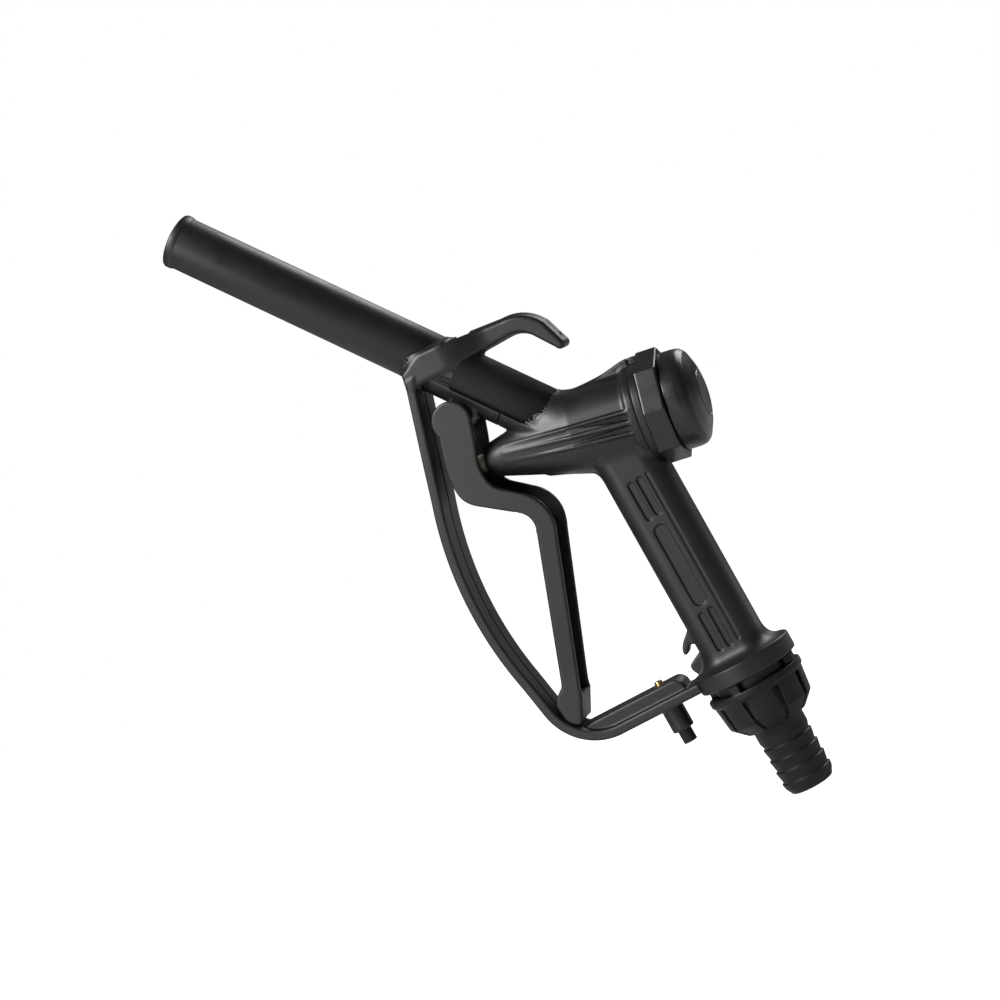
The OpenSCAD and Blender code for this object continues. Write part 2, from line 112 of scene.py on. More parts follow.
badge_middle = flat(sum(box_mm("cap_badge")) / 2)
barrel_way = flat(joints["valve_slide"]["axis"])
barrel = Line(badge_middle - barrel_way * badge_middle[0] / barrel_way[0], barrel_way)
spout_way = flat(mounts["spout_tip"]["axis"])
spout_end = flat(mounts["spout_tip"]["pos_m"]) * MM
steps = np.linalg.solve(np.column_stack([spout_way, -barrel_way]), barrel.origin - spout_end)
spout = Line(spout_end + steps[0] * spout_way, spout_way)
pivot = flat(joints["lever_swing"]["pos_m"]) * MM
latch_x = sum(box_mm("latch_tip"))[0] / 2
grip_axis = Line((0, 0), (0, 1))
latch_axis = Line((latch_x, 0), (0, 1))

# ---------------------------------------------------------------- signed distances


def smooth_min(a, b, k):
    """The lower of two distances, blended over k."""
    if k <= 0:
        return np.minimum(a, b)
    h = np.maximum(k - np.abs(a - b), 0) / k
    return np.minimum(a, b) - h * h * k / 4


def smooth_max(a, b, k):
    return -smooth_min(-a, -b, k)


def rounded(points, radius, parts=5):
    """A closed outline with each corner rounded by a short curve."""
    made = []
    for i, p in enumerate(points):
        p = Vector(p)
        before = Vector(points[i - 1]) - p
        after = Vector(points[(i + 1) % len(points)]) - p
        start = p + before.normalized() * min(radius, 0.45 * before.length)
        end = p + after.normalized() * min(radius, 0.45 * after.length)
        for j in range(parts + 1):
            q = j / parts
            made.append(tuple((1 - q) ** 2 * start + 2 * q * (1 - q) * p + q * q * end))
    return made


def arc(centre, radius, start, end, parts=12):
    """Points along an arc, angles in degrees from +X towards +Z."""
    return [(centre[0] + radius * math.cos(math.radians(a)), centre[1] + radius * math.sin(math.radians(a)))
            for a in np.linspace(start, end, parts + 1)]


def outline(px, py, points):
    """Signed distance to a closed outline in a plane, negative inside."""
    px, py = np.broadcast_arrays(np.float32(px), np.float32(py))
    near = np.full(px.shape, 1e9, np.float32)
    inside = np.zeros(px.shape, bool)
    for (ax, ay), (bx, by) in zip(points, list(points[1:]) + [points[0]]):
        ex, ey = bx - ax, by - ay
        wx, wy = px - ax, py - ay
        s = np.clip((wx * ex + wy * ey) / max(ex * ex + ey * ey, 1e-9), 0, 1)
        near = np.minimum(near, (wx - ex * s) ** 2 + (wy - ey * s) ** 2)
        if by != ay:
            inside ^= ((ay <= py) != (by <= py)) & (px < ex * (py - ay) / ey + ax)
    return np.where(inside, -1, 1) * np.sqrt(near)


def slab(shape, across, half, r=0.0):
    """A flat shape given thickness, with its edges rounded by r. across is the distance from the mid plane."""
    a = shape + r
    b = across - half + r
    return np.minimum(np.maximum(a, b), 0) + np.hypot(np.maximum(a, 0), np.maximum(b, 0)) - r


def turned(radial, t, profile, cell=0.15):
    """An outline of (radius, height) points turned round an axis, looked up in a fine table."""
    top = float(radial.max())
    low, high = float(t.min()), float(t.max())
    r_axis = np.arange(0, top + 2 * cell, cell)
    t_axis = np.arange(low, high + 2 * cell, cell)
    table = outline(r_axis[:, None], t_axis[None, :], profile)
    r_at, t_at = np.broadcast_arrays(radial / cell, (t - low) / cell)
    i, j = r_at.astype(np.int32), t_at.astype(np.int32)
    u, v = r_at - i, t_at - j
    return ((table[i, j] * (1 - u) + table[i + 1, j] * u) * (1 - v)
            + (table[i, j + 1] * (1 - u) + table[i + 1, j + 1] * u) * v)


def oblong(x, z, middle, low, high, width):
    """A slot with round ends, along Z."""
    past = np.maximum(np.abs(z - (low + high) / 2) - (high - low - width) / 2, 0)
    return np.hypot(x - middle, past) - width / 2


class Field:
    """A signed distance field round a box, in millimetres. A mirrored field holds only the +Y half."""

    def __init__(self, low, high, step, mirrored=True):
        self.step = step * COARSE
        self.mirrored = mirrored
        pad = 3 * self.step
        first = self.step / 2 if mirrored else low[1] - pad
        starts = (low[0] - pad, first, low[2] - pad)
        x, y, z = (np.arange(a, b + pad, self.step, dtype=np.float32) for a, b in zip(starts, high))
        self.x, self.y, self.z = x[:, None, None], y[None, :, None], z[None, None, :]
        self.f = np.full((len(x), len(y), len(z)), 50, np.float32)

    def add(self, shape, k=0.0):
        self.f = smooth_min(self.f, shape, k)

    def cut(self, shape, k=0.0):
        self.f = smooth_max(self.f, -shape, k)

    def about(self, line):
        """Distance from a line in the plane of symmetry, and position along it."""
        return np.hypot(line.off(self.x, self.z), self.y), line.along(self.x, self.z)

    def mesh(self, name):
        f = self.f
        start = self.y[0, 0, 0]
        if self.mirrored:
            f = np.concatenate([f[:, ::-1], f], axis=1)
            start = -self.y[0, -1, 0]
        band = 3 * self.step
        grid = openvdb.FloatGrid(band)
        grid.copyFromArray(np.clip(f, -band, band).astype(np.float32))
        points, quads = grid.convertToQuads(isovalue=0.0)
        origin = np.array([self.x[0, 0, 0], start, self.z[0, 0, 0]])
        return solid(name, (points * self.step + origin) / MM, quads)


def solid(name, points, quads):
    """A smooth-shaded mesh object of quads; points are in metres."""
    mesh = bpy.data.meshes.new(name)
    mesh.vertices.add(len(points))
    mesh.vertices.foreach_set("co", np.ascontiguousarray(points, np.float32).ravel())
    mesh.loops.add(4 * len(quads))
    mesh.loops.foreach_set("vertex_index", np.ascontiguousarray(quads, np.int32).ravel())
    mesh.polygons.add(len(quads))
    mesh.polygons.foreach_set("loop_start", np.arange(0, 4 * len(quads), 4, dtype=np.int32))
    mesh.update(calc_edges=True)
    mesh.validate()
    mesh.polygons.foreach_set("use_smooth", np.ones(len(mesh.polygons), bool))
    made = bpy.data.objects.new(name, mesh)
    bpy.context.scene.collection.objects.link(made)
    return made


def lathe(name, line, profile, around=128):
    """A closed outline of (radius, height) points turned round a line in the plane of symmetry."""
    profile = np.array(profile, float)
    n = len(profile)
    angle = np.linspace(0, 2 * math.pi, around, endpoint=False)
    along = np.array([line.direction[0], 0, line.direction[1]])
    side = np.array([line.direction[1], 0, -line.direction[0]])
    origin = np.array([line.origin[0], 0, line.origin[1]])
    round_it = np.cos(angle)[:, None] * side + np.sin(angle)[:, None] * np.array([0, 1, 0])
    points = origin + profile[None, :, 1:2] * along + profile[None, :, 0:1] * round_it[:, None, :]
    i, j = np.meshgrid(np.arange(around), np.arange(n), indexing="ij")
    i2, j2 = (i + 1) % around, (j + 1) % n
    quads = np.stack([i * n + j, i * n + j2, i2 * n + j2, i2 * n + j], -1).reshape(-1, 4)
    area = np.sum(profile[:, 0] * np.roll(profile[:, 1], -1) - np.roll(profile[:, 0], -1) * profile[:, 1])
    if area > 0:
        quads = quads[:, ::-1]
    return solid(name, points.reshape(-1, 3) / MM, quads)


# ---------------------------------------------------------------- materials


def node_maker(material):
    material.use_nodes = True
    tree = material.node_tree

    def make(kind, links=(), **values):
        node = tree.nodes.new(kind)
        for key, value in values.items():
            if key in node.inputs:
                node.inputs[key].default_value = value
            else:
                setattr(node, key, value)
        for key, source in dict(links).items():
            tree.links.new(source, node.inputs[key])
        return node

    return make, tree


def plastic(name, dark, light, rough, grain, grain_depth, wear=0.0, shine=0.5):
    """Moulded plastic: mottled colour, an eroded surface grain, uneven sheen and slightly rubbed edges."""
    material = bpy.data.materials.new(name)
    make, tree = node_maker(material)
    shader = tree.nodes["Principled BSDF"]
    where = make("ShaderNodeTexCoord").outputs["Object"]
    cloud = make("ShaderNodeTexNoise", {"Vector": where}, Scale=38.0, Detail=5.0, Roughness=0.6).outputs["Fac"]
    tone = make("ShaderNodeValToRGB", {"Fac": cloud})
    tone.color_ramp.elements[0].position = 0.35
    tone.color_ramp.elements[0].color = (*dark, 1)
    tone.color_ramp.elements[1].position = 0.7
    tone.color_ramp.elements[1].color = (*light, 1)
    colour = tone.outputs["Color"]
    if wear > 0:
        edges = make("ShaderNodeNewGeometry").outputs["Pointiness"]
        rubbed = make("ShaderNodeMapRange", {"Value": edges})
        for key, value in {"From Min": 0.52, "From Max": 0.6, "To Min": 0.0, "To Max": wear}.items():
            rubbed.inputs[key].default_value = value
        mix = make("ShaderNodeMix", {"Factor": rubbed.outputs["Result"]}, data_type="RGBA")
        tree.links.new(colour, mix.inputs["A"])
        mix.inputs["B"].default_value = (*(min(1, 3.2 * c + 0.02) for c in light), 1)
        colour = mix.outputs["Result"]
    tree.links.new(colour, shader.inputs["Base Color"])
    smear = make("ShaderNodeTexNoise", {"Vector": where}, Scale=90.0, Detail=4.0, Roughness=0.65).outputs["Fac"]
    sheen = make("ShaderNodeMapRange", {"Value": smear})
    for key, value in {"From Min": 0.3, "From Max": 0.7, "To Min": rough - 0.05, "To Max": rough + 0.07}.items():
        sheen.inputs[key].default_value = value
    tree.links.new(sheen.outputs["Result"], shader.inputs["Roughness"])
    pits = make("ShaderNodeTexNoise", {"Vector": where}, Scale=grain, Detail=3.0, Roughness=0.55).outputs["Fac"]
    bump = make("ShaderNodeBump", {"Height": pits}, Strength=0.35, Distance=grain_depth)
    tree.links.new(bump.outputs["Normal"], shader.inputs["Normal"])
    shader.inputs["IOR"].default_value = 1.49
    shader.inputs["Specular IOR Level"].default_value = shine
    return material


def metal(name, colour, rough, scratches):
    """Turned or drawn metal with fine scratches and a little tarnish."""
    material = bpy.data.materials.new(name)
    make, tree = node_maker(material)
    shader = tree.nodes["Principled BSDF"]
    where = make("ShaderNodeTexCoord").outputs["Object"]
    tarnish = make("ShaderNodeTexNoise", {"Vector": where}, Scale=260.0, Detail=4.0).outputs["Fac"]
    tone = make("ShaderNodeValToRGB", {"Fac": tarnish})
    tone.color_ramp.elements[0].position = 0.3
    tone.color_ramp.elements[0].color = (*(0.7 * c for c in colour), 1)
    tone.color_ramp.elements[1].position = 0.65
    tone.color_ramp.elements[1].color = (*colour, 1)
    tree.links.new(tone.outputs["Color"], shader.inputs["Base Color"])
    stretched = make("ShaderNodeMapping", {"Vector": where})
    stretched.inputs["Scale"].default_value = (1.0, 1.0, scratches)
    fine = make("ShaderNodeTexNoise", {"Vector": stretched.outputs["Vector"]}, Scale=400.0, Detail=2.0)
    bump = make("ShaderNodeBump", {"Height": fine.outputs["Fac"]}, Strength=0.25, Distance=0.00005)
    tree.links.new(bump.outputs["Normal"], shader.inputs["Normal"])
    shader.inputs["Metallic"].default_value = 1.0
    shader.inputs["Roughness"].default_value = rough
    return material


MOULDED_DARK, MOULDED_LIGHT = (0.007, 0.0058, 0.0052), (0.011, 0.0092, 0.0083)
body_plastic = plastic("moulded_black", MOULDED_DARK, MOULDED_LIGHT, 0.42, 2600.0, 0.00009, 0.35)
spout_plastic = plastic("spout_black", MOULDED_DARK, MOULDED_LIGHT, 0.4, 3400.0, 0.00005, 0.2)
cap_plastic = plastic("cap_black", (0.009, 0.0082, 0.008), (0.014, 0.0125, 0.012), 0.3, 3000.0, 0.00004, 0.3)
nut_plastic = plastic("nut_black", (0.006, 0.0055, 0.0052), (0.0105, 0.0095, 0.009), 0.45, 2400.0, 0.00008, 0.2, 0.28)
badge_plastic = plastic("badge_grey", (0.05, 0.05, 0.05), (0.075, 0.074, 0.072), 0.35, 3000.0, 0.00004)
cream_plastic = plastic("cream_acetal", (0.74, 0.68, 0.54), (0.84, 0.79, 0.66), 0.38, 1800.0, 0.00004)
rubber = plastic("seal_rubber", (0.012, 0.012, 0.012), (0.02, 0.02, 0.02), 0.6, 1500.0, 0.00006)
steel = metal("turned_steel", (0.55, 0.55, 0.56), 0.34, 0.1)
spring_wire = metal("spring_wire", (0.5, 0.49, 0.48), 0.3, 1.0)
brass = metal("turned_brass", (0.83, 0.56, 0.27), 0.28, 0.1)


def place(piece, node, material):
    """The piece stands for a CAD node, rides on its body and takes a material."""
    piece.data.materials.append(material)
    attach(piece, body_of[node])
    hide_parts(node)


# ---------------------------------------------------------------- moulded pieces

SPOUT_R = 12.5
SPOUT_BORE_R = 10.0
SLEEVE_R = 14.0
BARREL_R = 19.4
NOSE_R = 7.3
NOSE_T, SHOULDER_T, FLANGE_T, BARREL_END_T = -60.0, -15.0, 13.3, 17.0
END_FLANGE_R = 20.8
RIB_H = 1.1
GRIP_HALF_X, GRIP_HALF_Y, GRIP_CORNER = 14.8, 13.5, 9.0
BASE_R = 24.0
BASE_LOW, BASE_TOP = 59.2, 67.3
SPIGOT_R = 18.0
INLET_R = 8.5
CHAMBER_R = 15.5


def under_sleeve(field, start, end):
    """The half sleeve under the spout, between two stations along it."""
    radial, u = field.about(spout)
    under = spout.off(field.x, field.z)
    shell = smooth_max(radial - SLEEVE_R, 6 - under, 1.2)
    return smooth_max(shell, np.abs(u - (start + end) / 2) - (end - start) / 2, 0.6)


def body_piece():
    f = Field(*box_mm("body"), 0.4)
    x, y, z = f.x, f.y, f.z
    radial, t = f.about(barrel)
    h = barrel.off(x, z)
    tube = [(-9, NOSE_T), (NOSE_R, NOSE_T), (BARREL_R, SHOULDER_T), (BARREL_R, FLANGE_T - 1.6),
            (END_FLANGE_R, FLANGE_T), (END_FLANGE_R, BARREL_END_T), (-9, BARREL_END_T)]
    f.add(turned(radial, t, rounded(tube, 1.0)))
    # top gusset fin
    fin = [(-22, 6), (-16.8, 17.4), (-10.7, 18.7), (3.9, 21.9), (13, 24.7), (16, 25.2), (17, 25.2), (17, 6)]
    f.add(slab(outline(t, h, rounded(fin, 2.0)), y, 2.5, 1.0), 3.0)
    # ribs that fan out along the sides, and the tapered pockets between them
    surface = NOSE_R - 0.6 + np.clip((t - NOSE_T) / (SHOULDER_T - NOSE_T), 0, 1) * (BARREL_R + RIB_H - NOSE_R + 0.6)
    for low0, high0, low1, high1 in ((4.8, 5.8, 2.6, 4.3), (1.4, 2.4, -2.8, -0.6), (-2.9, -1.9, -7.6, -5.8)):
        strip = outline(t, h, [(-50, low0), (-50, high0), (14, high1), (14, low1)])
        f.add(smooth_max((radial - surface) * 0.966, strip, 0.9), 0.9)
    pockets = ([(-16, 3.9), (-16, 3.5), (12.3, -0.5), (12.9, 0), (12.9, 2.1), (12.3, 2.5)],
               [(-11, -2.9), (-11, -3.4), (12.3, -5.7), (12.9, -5.3), (12.9, -3.4), (12.3, -2.9)])
    for pocket in pockets:
        depth = np.abs(y - BARREL_R - 1.2 + np.clip((t + 14) / 24, 0, 1) * 1.6)
        f.cut(slab(outline(t, h, pocket), depth, 1.6, 0.3), 0.5)
    # spout root and its half sleeve
    radial_s, u = f.about(spout)
    f.add(smooth_max(radial_s - SPOUT_R - 0.06, np.abs(u - 10) - 14.0, 0.1), 4.5)
    f.add(under_sleeve(f, 14, 35.9), 1.5)
    # throat web and grip
    web = [(-37, 181), (-27, 177.4), (-17.5, 172.4), (-14.5, 168), (-13, 158), (0, 158), (0, 185), (-34, 187)]
    f.add(slab(outline(x, z, rounded(web, 2.0)), y, 4.0, 1.2), 2.0)
    qx, qy = np.abs(x) - GRIP_HALF_X + GRIP_CORNER, np.abs(y) - GRIP_HALF_Y + GRIP_CORNER
    grip = np.hypot(np.maximum(qx, 0), np.maximum(qy, 0)) + np.minimum(np.maximum(qx, qy), 0) - GRIP_CORNER
    f.add(np.maximum(grip, np.abs(z - 124) - 60), 3.0)
    # base flange, with a hollow flare up to the grip, and the spigot inside the nut
    radial_g = np.hypot(x, y)
    base = [(-9, BASE_LOW), (BASE_R, BASE_LOW), (BASE_R, BASE_TOP), (-9, BASE_TOP)]
    f.add(turned(radial_g, z, rounded(base, 1.0)), 9.0)
    f.cut(np.maximum(BASE_R - 0.05 - radial_g, np.abs(z - 64) - 12))
    f.add(np.maximum(radial_g - SPIGOT_R, np.abs(z - 53) - 8))
    # open hook and lug on the front of the grip
    hook = [(-12, 94), (-15.4, 88.6), (-19.2, 85.4), (-21.4, 82.6), (-22.3, 80), (-21.6, 78.8), (-19.8, 79.2),
            (-18.6, 81.2), (-17.4, 82.4), (-15.8, 81.8), (-12, 79.5)]
    lug = [(-12, 77.8), (-17.2, 76.6), (-22.2, 73.9), (-22.3, 71.2), (-19.8, 66.8), (-12, 66)]
    for shape in (hook, lug):
        f.add(slab(outline(x, z, rounded(shape, 1.2)), y, 4.0, 0.9), 1.0)
    # shallow oblong recesses in the grip's sides, and the crease behind them
    sunk = np.abs(y - GRIP_HALF_Y)
    for middle, low, high, width in ((-2.6, 141.3, 160.7, 3.4), (2.2, 141.8, 161.2, 3.4), (-0.8, 96.6, 137.9, 6.8),
                                     (-3.6, 74.5, 94, 3.0), (1.4, 74.5, 94.5, 3.0)):
        f.cut(slab(oblong(x, z, middle, low, high, width), sunk, 0.9, 0.3), 0.4)
    f.cut(np.hypot(oblong(x, z, 6.2, 76, 161, 0.2), y - GRIP_HALF_Y) - 0.5, 0.5)
    # the stem hole and chambers, the spout's way in and the inlet
    hollow = [(-9, -70), (4.3, -70), (4.3, -52), (6.2, -52), (6.2, -34), (7.2, -34), (7.2, -9), (13, -9), (13, -5),
              (CHAMBER_R, -5), (CHAMBER_R, 26), (-9, 26)]
    f.cut(turned(radial, t, hollow), 0.3)
    f.cut(np.maximum(radial_s - SPOUT_R - 0.05, 16 - u))
    f.cut(np.maximum(radial_s - INLET_R, -u))
    f.cut(np.maximum(radial_g - INLET_R, z - 176))
    return f.mesh("body_moulding")


STRIP_T = 4.8
ARM_Z, RIB_TOP = 61.0, 72.0
LONG_CENTRE, LONG_R = (76.0, 137.0), 175.0
CORNER_CENTRE, CORNER_R = (-64.1, 89.8), 28.8
ARC_START, ARC_JOIN, ARC_END = 160.6, 192.0, 270.0
HOOK_CENTRE = (-20.0, 233.0)
TIP_CENTRE, TIP_R = (-1.2, 230.6), 2.4


def loop_line(inset):
    """The guard loop's outer line, moved in by inset, from the collar round to the lower arm."""
    return ([(-71.6 + inset, 250)] + arc(LONG_CENTRE, LONG_R - inset, ARC_START, ARC_JOIN, 40)
            + arc(CORNER_CENTRE, CORNER_R - inset, ARC_JOIN, ARC_END, 24))


def guard_piece():
    f = Field(*box_mm("guard"), 0.4)
    x, y, z = f.x, f.y, f.z
    # loop and lower arm
    half = np.interp(z, [30, 100, 215, 280], [11, 11, 14, 14]).astype(np.float32)
    strip = outline(x, z, loop_line(0) + [(-18, ARM_Z), (-18, ARM_Z + STRIP_T)] + loop_line(STRIP_T)[::-1])
    radial_g = np.hypot(x, y)
    f.add(np.maximum(slab(strip, y, half, 1.1), BASE_R + 0.1 - radial_g))
    # parting line along the inner face
    opening = outline(x, z, loop_line(STRIP_T) + [(0, ARM_Z + STRIP_T), (0, 250)])
    f.cut(smooth_max(opening - 0.7, np.maximum(y - 0.55, np.abs(z - 160) - 84), 0.3), 0.3)
    # centre rib on the lower arm
    rib = rounded([(-92, 63), (-30, 63), (-27.6, 65.5), (-28.2, 69.6), (-31, RIB_TOP), (-92, RIB_TOP)], 2.0)
    flat_rib = outline(x, z, rib)
    corner = np.hypot(x - CORNER_CENTRE[0], z - CORNER_CENTRE[1]) - CORNER_R + 1
    rib_shape = np.where(x > CORNER_CENTRE[0], flat_rib, smooth_max(flat_rib, corner, 0.5))
    f.add(slab(rib_shape, y, 7.5, 1.2), 1.2)
    # latch boss
    radial_l, along = f.about(latch_axis)
    f.add(turned(radial_l, along, rounded([(-5, 49), (5.3, 49), (5.3, 63), (-5, 63)], 0.7)), 1.6)
    # collar and hanging hook
    hook = (rounded([(-71.2, 244.6), (-72, 253.5), (-60, 258.5), (-45, 257.7)], 2.0) + arc(HOOK_CENTRE, 20, 90, 30)
            + arc(TIP_CENTRE, TIP_R, 15, -165) + arc(HOOK_CENTRE, 12, 30, 90))
    flat_hook = outline(x, z, hook)
    narrow = np.clip((x + 52) / 24, 0, 1)
    hook_half = 14 - 7 * narrow * narrow * (3 - 2 * narrow)
    f.add(slab(flat_hook, y, hook_half, 2.0), 2.0)
    crest = smooth_max(flat_hook - 0.5, 235.0 - z, 1.0)
    f.add(slab(np.maximum(crest, -36 - x), y, 1.3, 1.0), 2.0)
    # web under the hook root, lever bracket and half sleeve
    root = [(-44, 248), (-38.5, 238.6), (-36.6, 241.8), (-35.6, 244.2), (-32, 246)]
    f.add(slab(outline(x, z, root), y, 3.0, 0.8), 1.5)
    u, v = spout.along(x, z), spout.off(x, z)
    web = [(60.5, 5), (60.5, 14.2), (60.8, 22.2), (58.5, 25), (48.1, 19.45), (46.5, 12), (46.5, 5)]
    f.add(slab(outline(u, v, rounded(web, 1.2)), y, 10.0, 1.0), 1.0)
    f.add(slab(np.hypot(x - pivot[0], z - pivot[1]) - 7, y, 10.0, 0.8), 1.0)
    f.add(under_sleeve(f, 36.1, 80), 1.5)
    radial_s, _ = f.about(spout)
    f.add(smooth_max(radial_s - SPOUT_R - 0.2, np.abs(u - 75) - 12.5, 0.3), 2.6)
    f.cut(radial_s - SPOUT_R - 0.02)
    f.cut(np.maximum(radial_l - 2.3, along - 90), 0.3)
    f.cut(np.maximum(radial_l - 3.9, along - 62))
    return f.mesh("guard_moulding")


def lever_piece():
    f = Field(*box_mm("lever"), 0.35)
    x, y, z = f.x, f.y, f.z
    web_t, plate_t = 2.6, 2.6
    half = np.interp(z, [60, 95, 180, 245], [11, 11, 14, 14]).astype(np.float32)

    def side(x, z):
        head = np.hypot(x - pivot[0], z - pivot[1]) - 9.4
        upper = rounded([(-70.3, 220.8), (-75.2, 205), (-76.1, 196), (-75.2, 190.2), (-72.2, 186), (-54.15, 172.34),
                         (-48.19, 179.34), (-58.6, 188.2), (-60.5, 194), (-59.8, 202), (-56.4, 210),
                         (-52.9, 219.9)], 3.0)
        bend = arc((-60, 165.5), 18.2, 58, -30, 20) + arc((-60, 165.5), 9, -30, 58, 12)
        lower = [(-51.64, 162.16), (-43.1, 158.74), (-70.9, 89.2), (-71.9, 85.5)]
        foot = rounded([(-71.9, 85.5), (-78, 74.2), (-79.8, 73.8), (-82.9, 76), (-84.5, 79), (-85.2, 86.3),
                        (-83.6, 89.4), (-78.4, 93.2), (-74, 94)], 1.2)
        shape = smooth_min(head, outline(x, z, upper), 1.5)
        shape = smooth_min(shape, outline(x, z, bend), 0.4)
        leg = outline(x, z, lower + [(-78.4, 93.2)])
        shape = smooth_min(shape, leg, 0.4)
        return smooth_min(shape, outline(x, z, foot), 1.0)

    outer = side(x, z)
    f.add(slab(outer, y, half, 1.1))
    inner = half - plate_t
    f.cut(slab(side(x - web_t, z - 0.9), y, inner, 0.8), 0.5)
    f.cut(slab(np.maximum(212 - z, np.abs(x + 60) - 30), y, inner, 0.5), 0.5)
    f.cut(slab(np.maximum(np.abs(z - 75.5) - 5.5, np.abs(x + 75) - 15), y, inner, 0.5), 0.5)
    # catch plate at the foot
    catch = rounded([(-78, 74.2), (-71.9, 85.5), (-74.2, 86.6), (-79.8, 75.4)], 0.5)
    f.add(slab(outline(x, z, catch), y, 10.0, 0.5), 0.6)
    return f.mesh("lever_moulding")


# ---------------------------------------------------------------- cap end


OCTAGON_R = 26.2
PLUG_POCKET_R = 11.0
ORING_GROOVE_R = 13.6


def octagon_piece():
    f = Field(*box_mm("cap_plug"), 0.3)
    radial, t = f.about(barrel)
    h = barrel.off(f.x, f.z)
    apothem = OCTAGON_R * math.cos(math.pi / 8)
    across = np.full(np.broadcast_shapes(h.shape, f.y.shape), -50, np.float32)
    for k in range(8):
        angle = math.radians(22.5 + 45 * k)
        across = np.maximum(across, h * math.cos(angle) + f.y * math.sin(angle) - apothem)
    f.add(slab(across, np.abs(t - 25.95), 5.05, 0.7))
    f.add(np.maximum(radial - 20.4, np.abs(t - 28) - 8), 0.5)
    f.add(np.maximum(radial - 15.4, np.abs(t - 14) - 8))
    f.cut(np.maximum(radial - PLUG_POCKET_R, t - 27))
    f.cut(np.maximum(ORING_GROOVE_R - radial, np.abs(t - 9.5) - 1.5))
    return f.mesh("octagonal_plug")


def ring_piece():
    f = Field(*box_mm("clamp_ring"), 0.3)
    radial, t = f.about(barrel)
    f.add(turned(radial, t, rounded([(15.5, 17.05), (22.5, 17.05), (22.5, 20.85), (15.5, 20.85)], 0.7)))
    lug = rounded([(17.05, 18), (17.05, 25.2), (20.85, 25.2), (20.85, 18)], 0.8)
    f.add(slab(outline(t, barrel.off(f.x, f.z), lug), f.y, 2.5, 0.9), 0.8)
    return f.mesh("clamp_ring_moulding")


def cover_piece():
    profile = rounded([(18, 31.05), (22.8, 31.05), (22.75, 37.2), (22.3, 40), (20.6, 41.95), (15, 44.4), (11.5, 45.4),
                       (11.0, 45.3), (10.9, 44.35), (0.01, 44.3), (0.01, 42), (18, 40)], 0.9)
    return lathe("cap_cover_dome", barrel, profile, 160)


def badge_piece():
    profile = rounded([(0.01, 44.4), (10.45, 44.4), (10.45, 45.35), (9.8, 45.8), (8.4, 45.75), (8.1, 45.5),
                       (7.7, 45.55), (0.01, 45.8)], 0.3)
    return lathe("cap_badge_disc", barrel, profile)


# ---------------------------------------------------------------- coupling and hose tail

TAIL_R = 12.3
BARB_PITCH = 5.9


def nut_piece():
    f = Field(*box_mm("coupling_nut"), 0.3, mirrored=False)
    x, y, z = f.x, f.y, f.z
    radial = np.hypot(x, y)
    profile = rounded([(12.6, 33), (14.6, 33), (20.8, 39), (22.2, 50.4), (22.4, 51.2), (23.2, 51.6), (23.2, 54.8),
                       (18.1, 54.8), (18.1, 38.6), (12.6, 38.6)], 0.8)
    f.add(turned(radial, z, profile))
    for angle in (-104, -14, 76, 166):
        a = math.radians(angle)
        out, side = x * math.cos(a) + y * math.sin(a), np.abs(y * math.cos(a) - x * math.sin(a))
        tab = np.maximum(np.maximum(side - 2.2, np.abs(z - 56.5) - 2.6), np.maximum(radial - 22.8, 18.1 - out))
        f.add(tab, 0.6)
    flute_half = np.interp(z, [34, 50], [0.7, 1.7]).astype(np.float32)
    for i in range(9):
        a = math.radians(40 * i - 100)
        out, side = x * math.cos(a) + y * math.sin(a), np.abs(y * math.cos(a) - x * math.sin(a))
        floor = 19.4 - np.clip((40 - z) * 0.9, 0, 5)
        f.cut(np.maximum(np.maximum(side - flute_half, floor - out), np.maximum(z - 50.2, 33.8 - z)), 0.5)
    return f.mesh("coupling_nut_moulding")


def tail_piece():
    profile = [(8, 0.4), (8.4, 0), (9.8, 0), (10.3, 0.3), (11.9, 3.4), (12.15, 4.6)]
    for i in range(1, 5):
        crest = i * BARB_PITCH
        profile += [(TAIL_R - 0.05, crest - 0.35), (TAIL_R, crest - 0.15), (TAIL_R - 0.15, crest),
                    (TAIL_R - 0.95, crest + 0.12), (TAIL_R - 1.0, crest + 0.5)]
        if i < 4:
            profile.append((TAIL_R - 0.45, crest + 3.2))
    profile += [(TAIL_R - 0.1, 26.6), (TAIL_R, 27.4), (TAIL_R, 38.6), (17.3, 38.8), (17.4, 42.3), (8, 42.4)]
    return lathe("hose_tail_barbed", grip_axis, profile, 144)


# ---------------------------------------------------------------- turned pieces


def spout_piece():
    end = 211.5
    profile = [(SPOUT_R, 5), (SPOUT_R, end - 4.4), (SPOUT_R + 0.1, end - 4.0), (SPOUT_R + 0.4, end - 3.5),
               (13.0, end - 3.0), (13.1, end - 2.4), (13.1, end - 1.2), (13.0, end - 0.7),
               (12.7, end - 0.25), (12.2, end),
               (11.0, end), (10.5, end - 0.15), (10.1, end - 0.6), (SPOUT_BORE_R, end - 1.2), (SPOUT_BORE_R, 5)]
    return lathe("spout_tube_turned", spout, profile, 160)


def stem_piece():
    ball = [(4 * math.cos(math.radians(a)), -69.8 + 4 * math.sin(math.radians(a))) for a in range(-88, 1, 8)]
    profile = [(0.01, -73.8)] + ball + [(4, -66.2), (3.85, -66), (3.85, -65.6), (4, -65.4), (4, -30), (0.01, -30)]
    return lathe("stem_rod", barrel, profile, 96)


def button_piece():
    profile = rounded([(0.01, 42.5), (3.3, 42.5), (3.3, 51.6), (3.6, 51.7), (3.6, 55.8), (2, 55.8), (0.01, 50)], 0.3)
    return lathe("latch_push_button", latch_axis, profile, 96)


def tip_piece():
    profile = rounded([(0.01, 50.1), (2.0, 50.1), (2.0, 74.0), (0.01, 74.1)], 0.5)
    return lathe("latch_brass_tip", latch_axis, profile, 96)


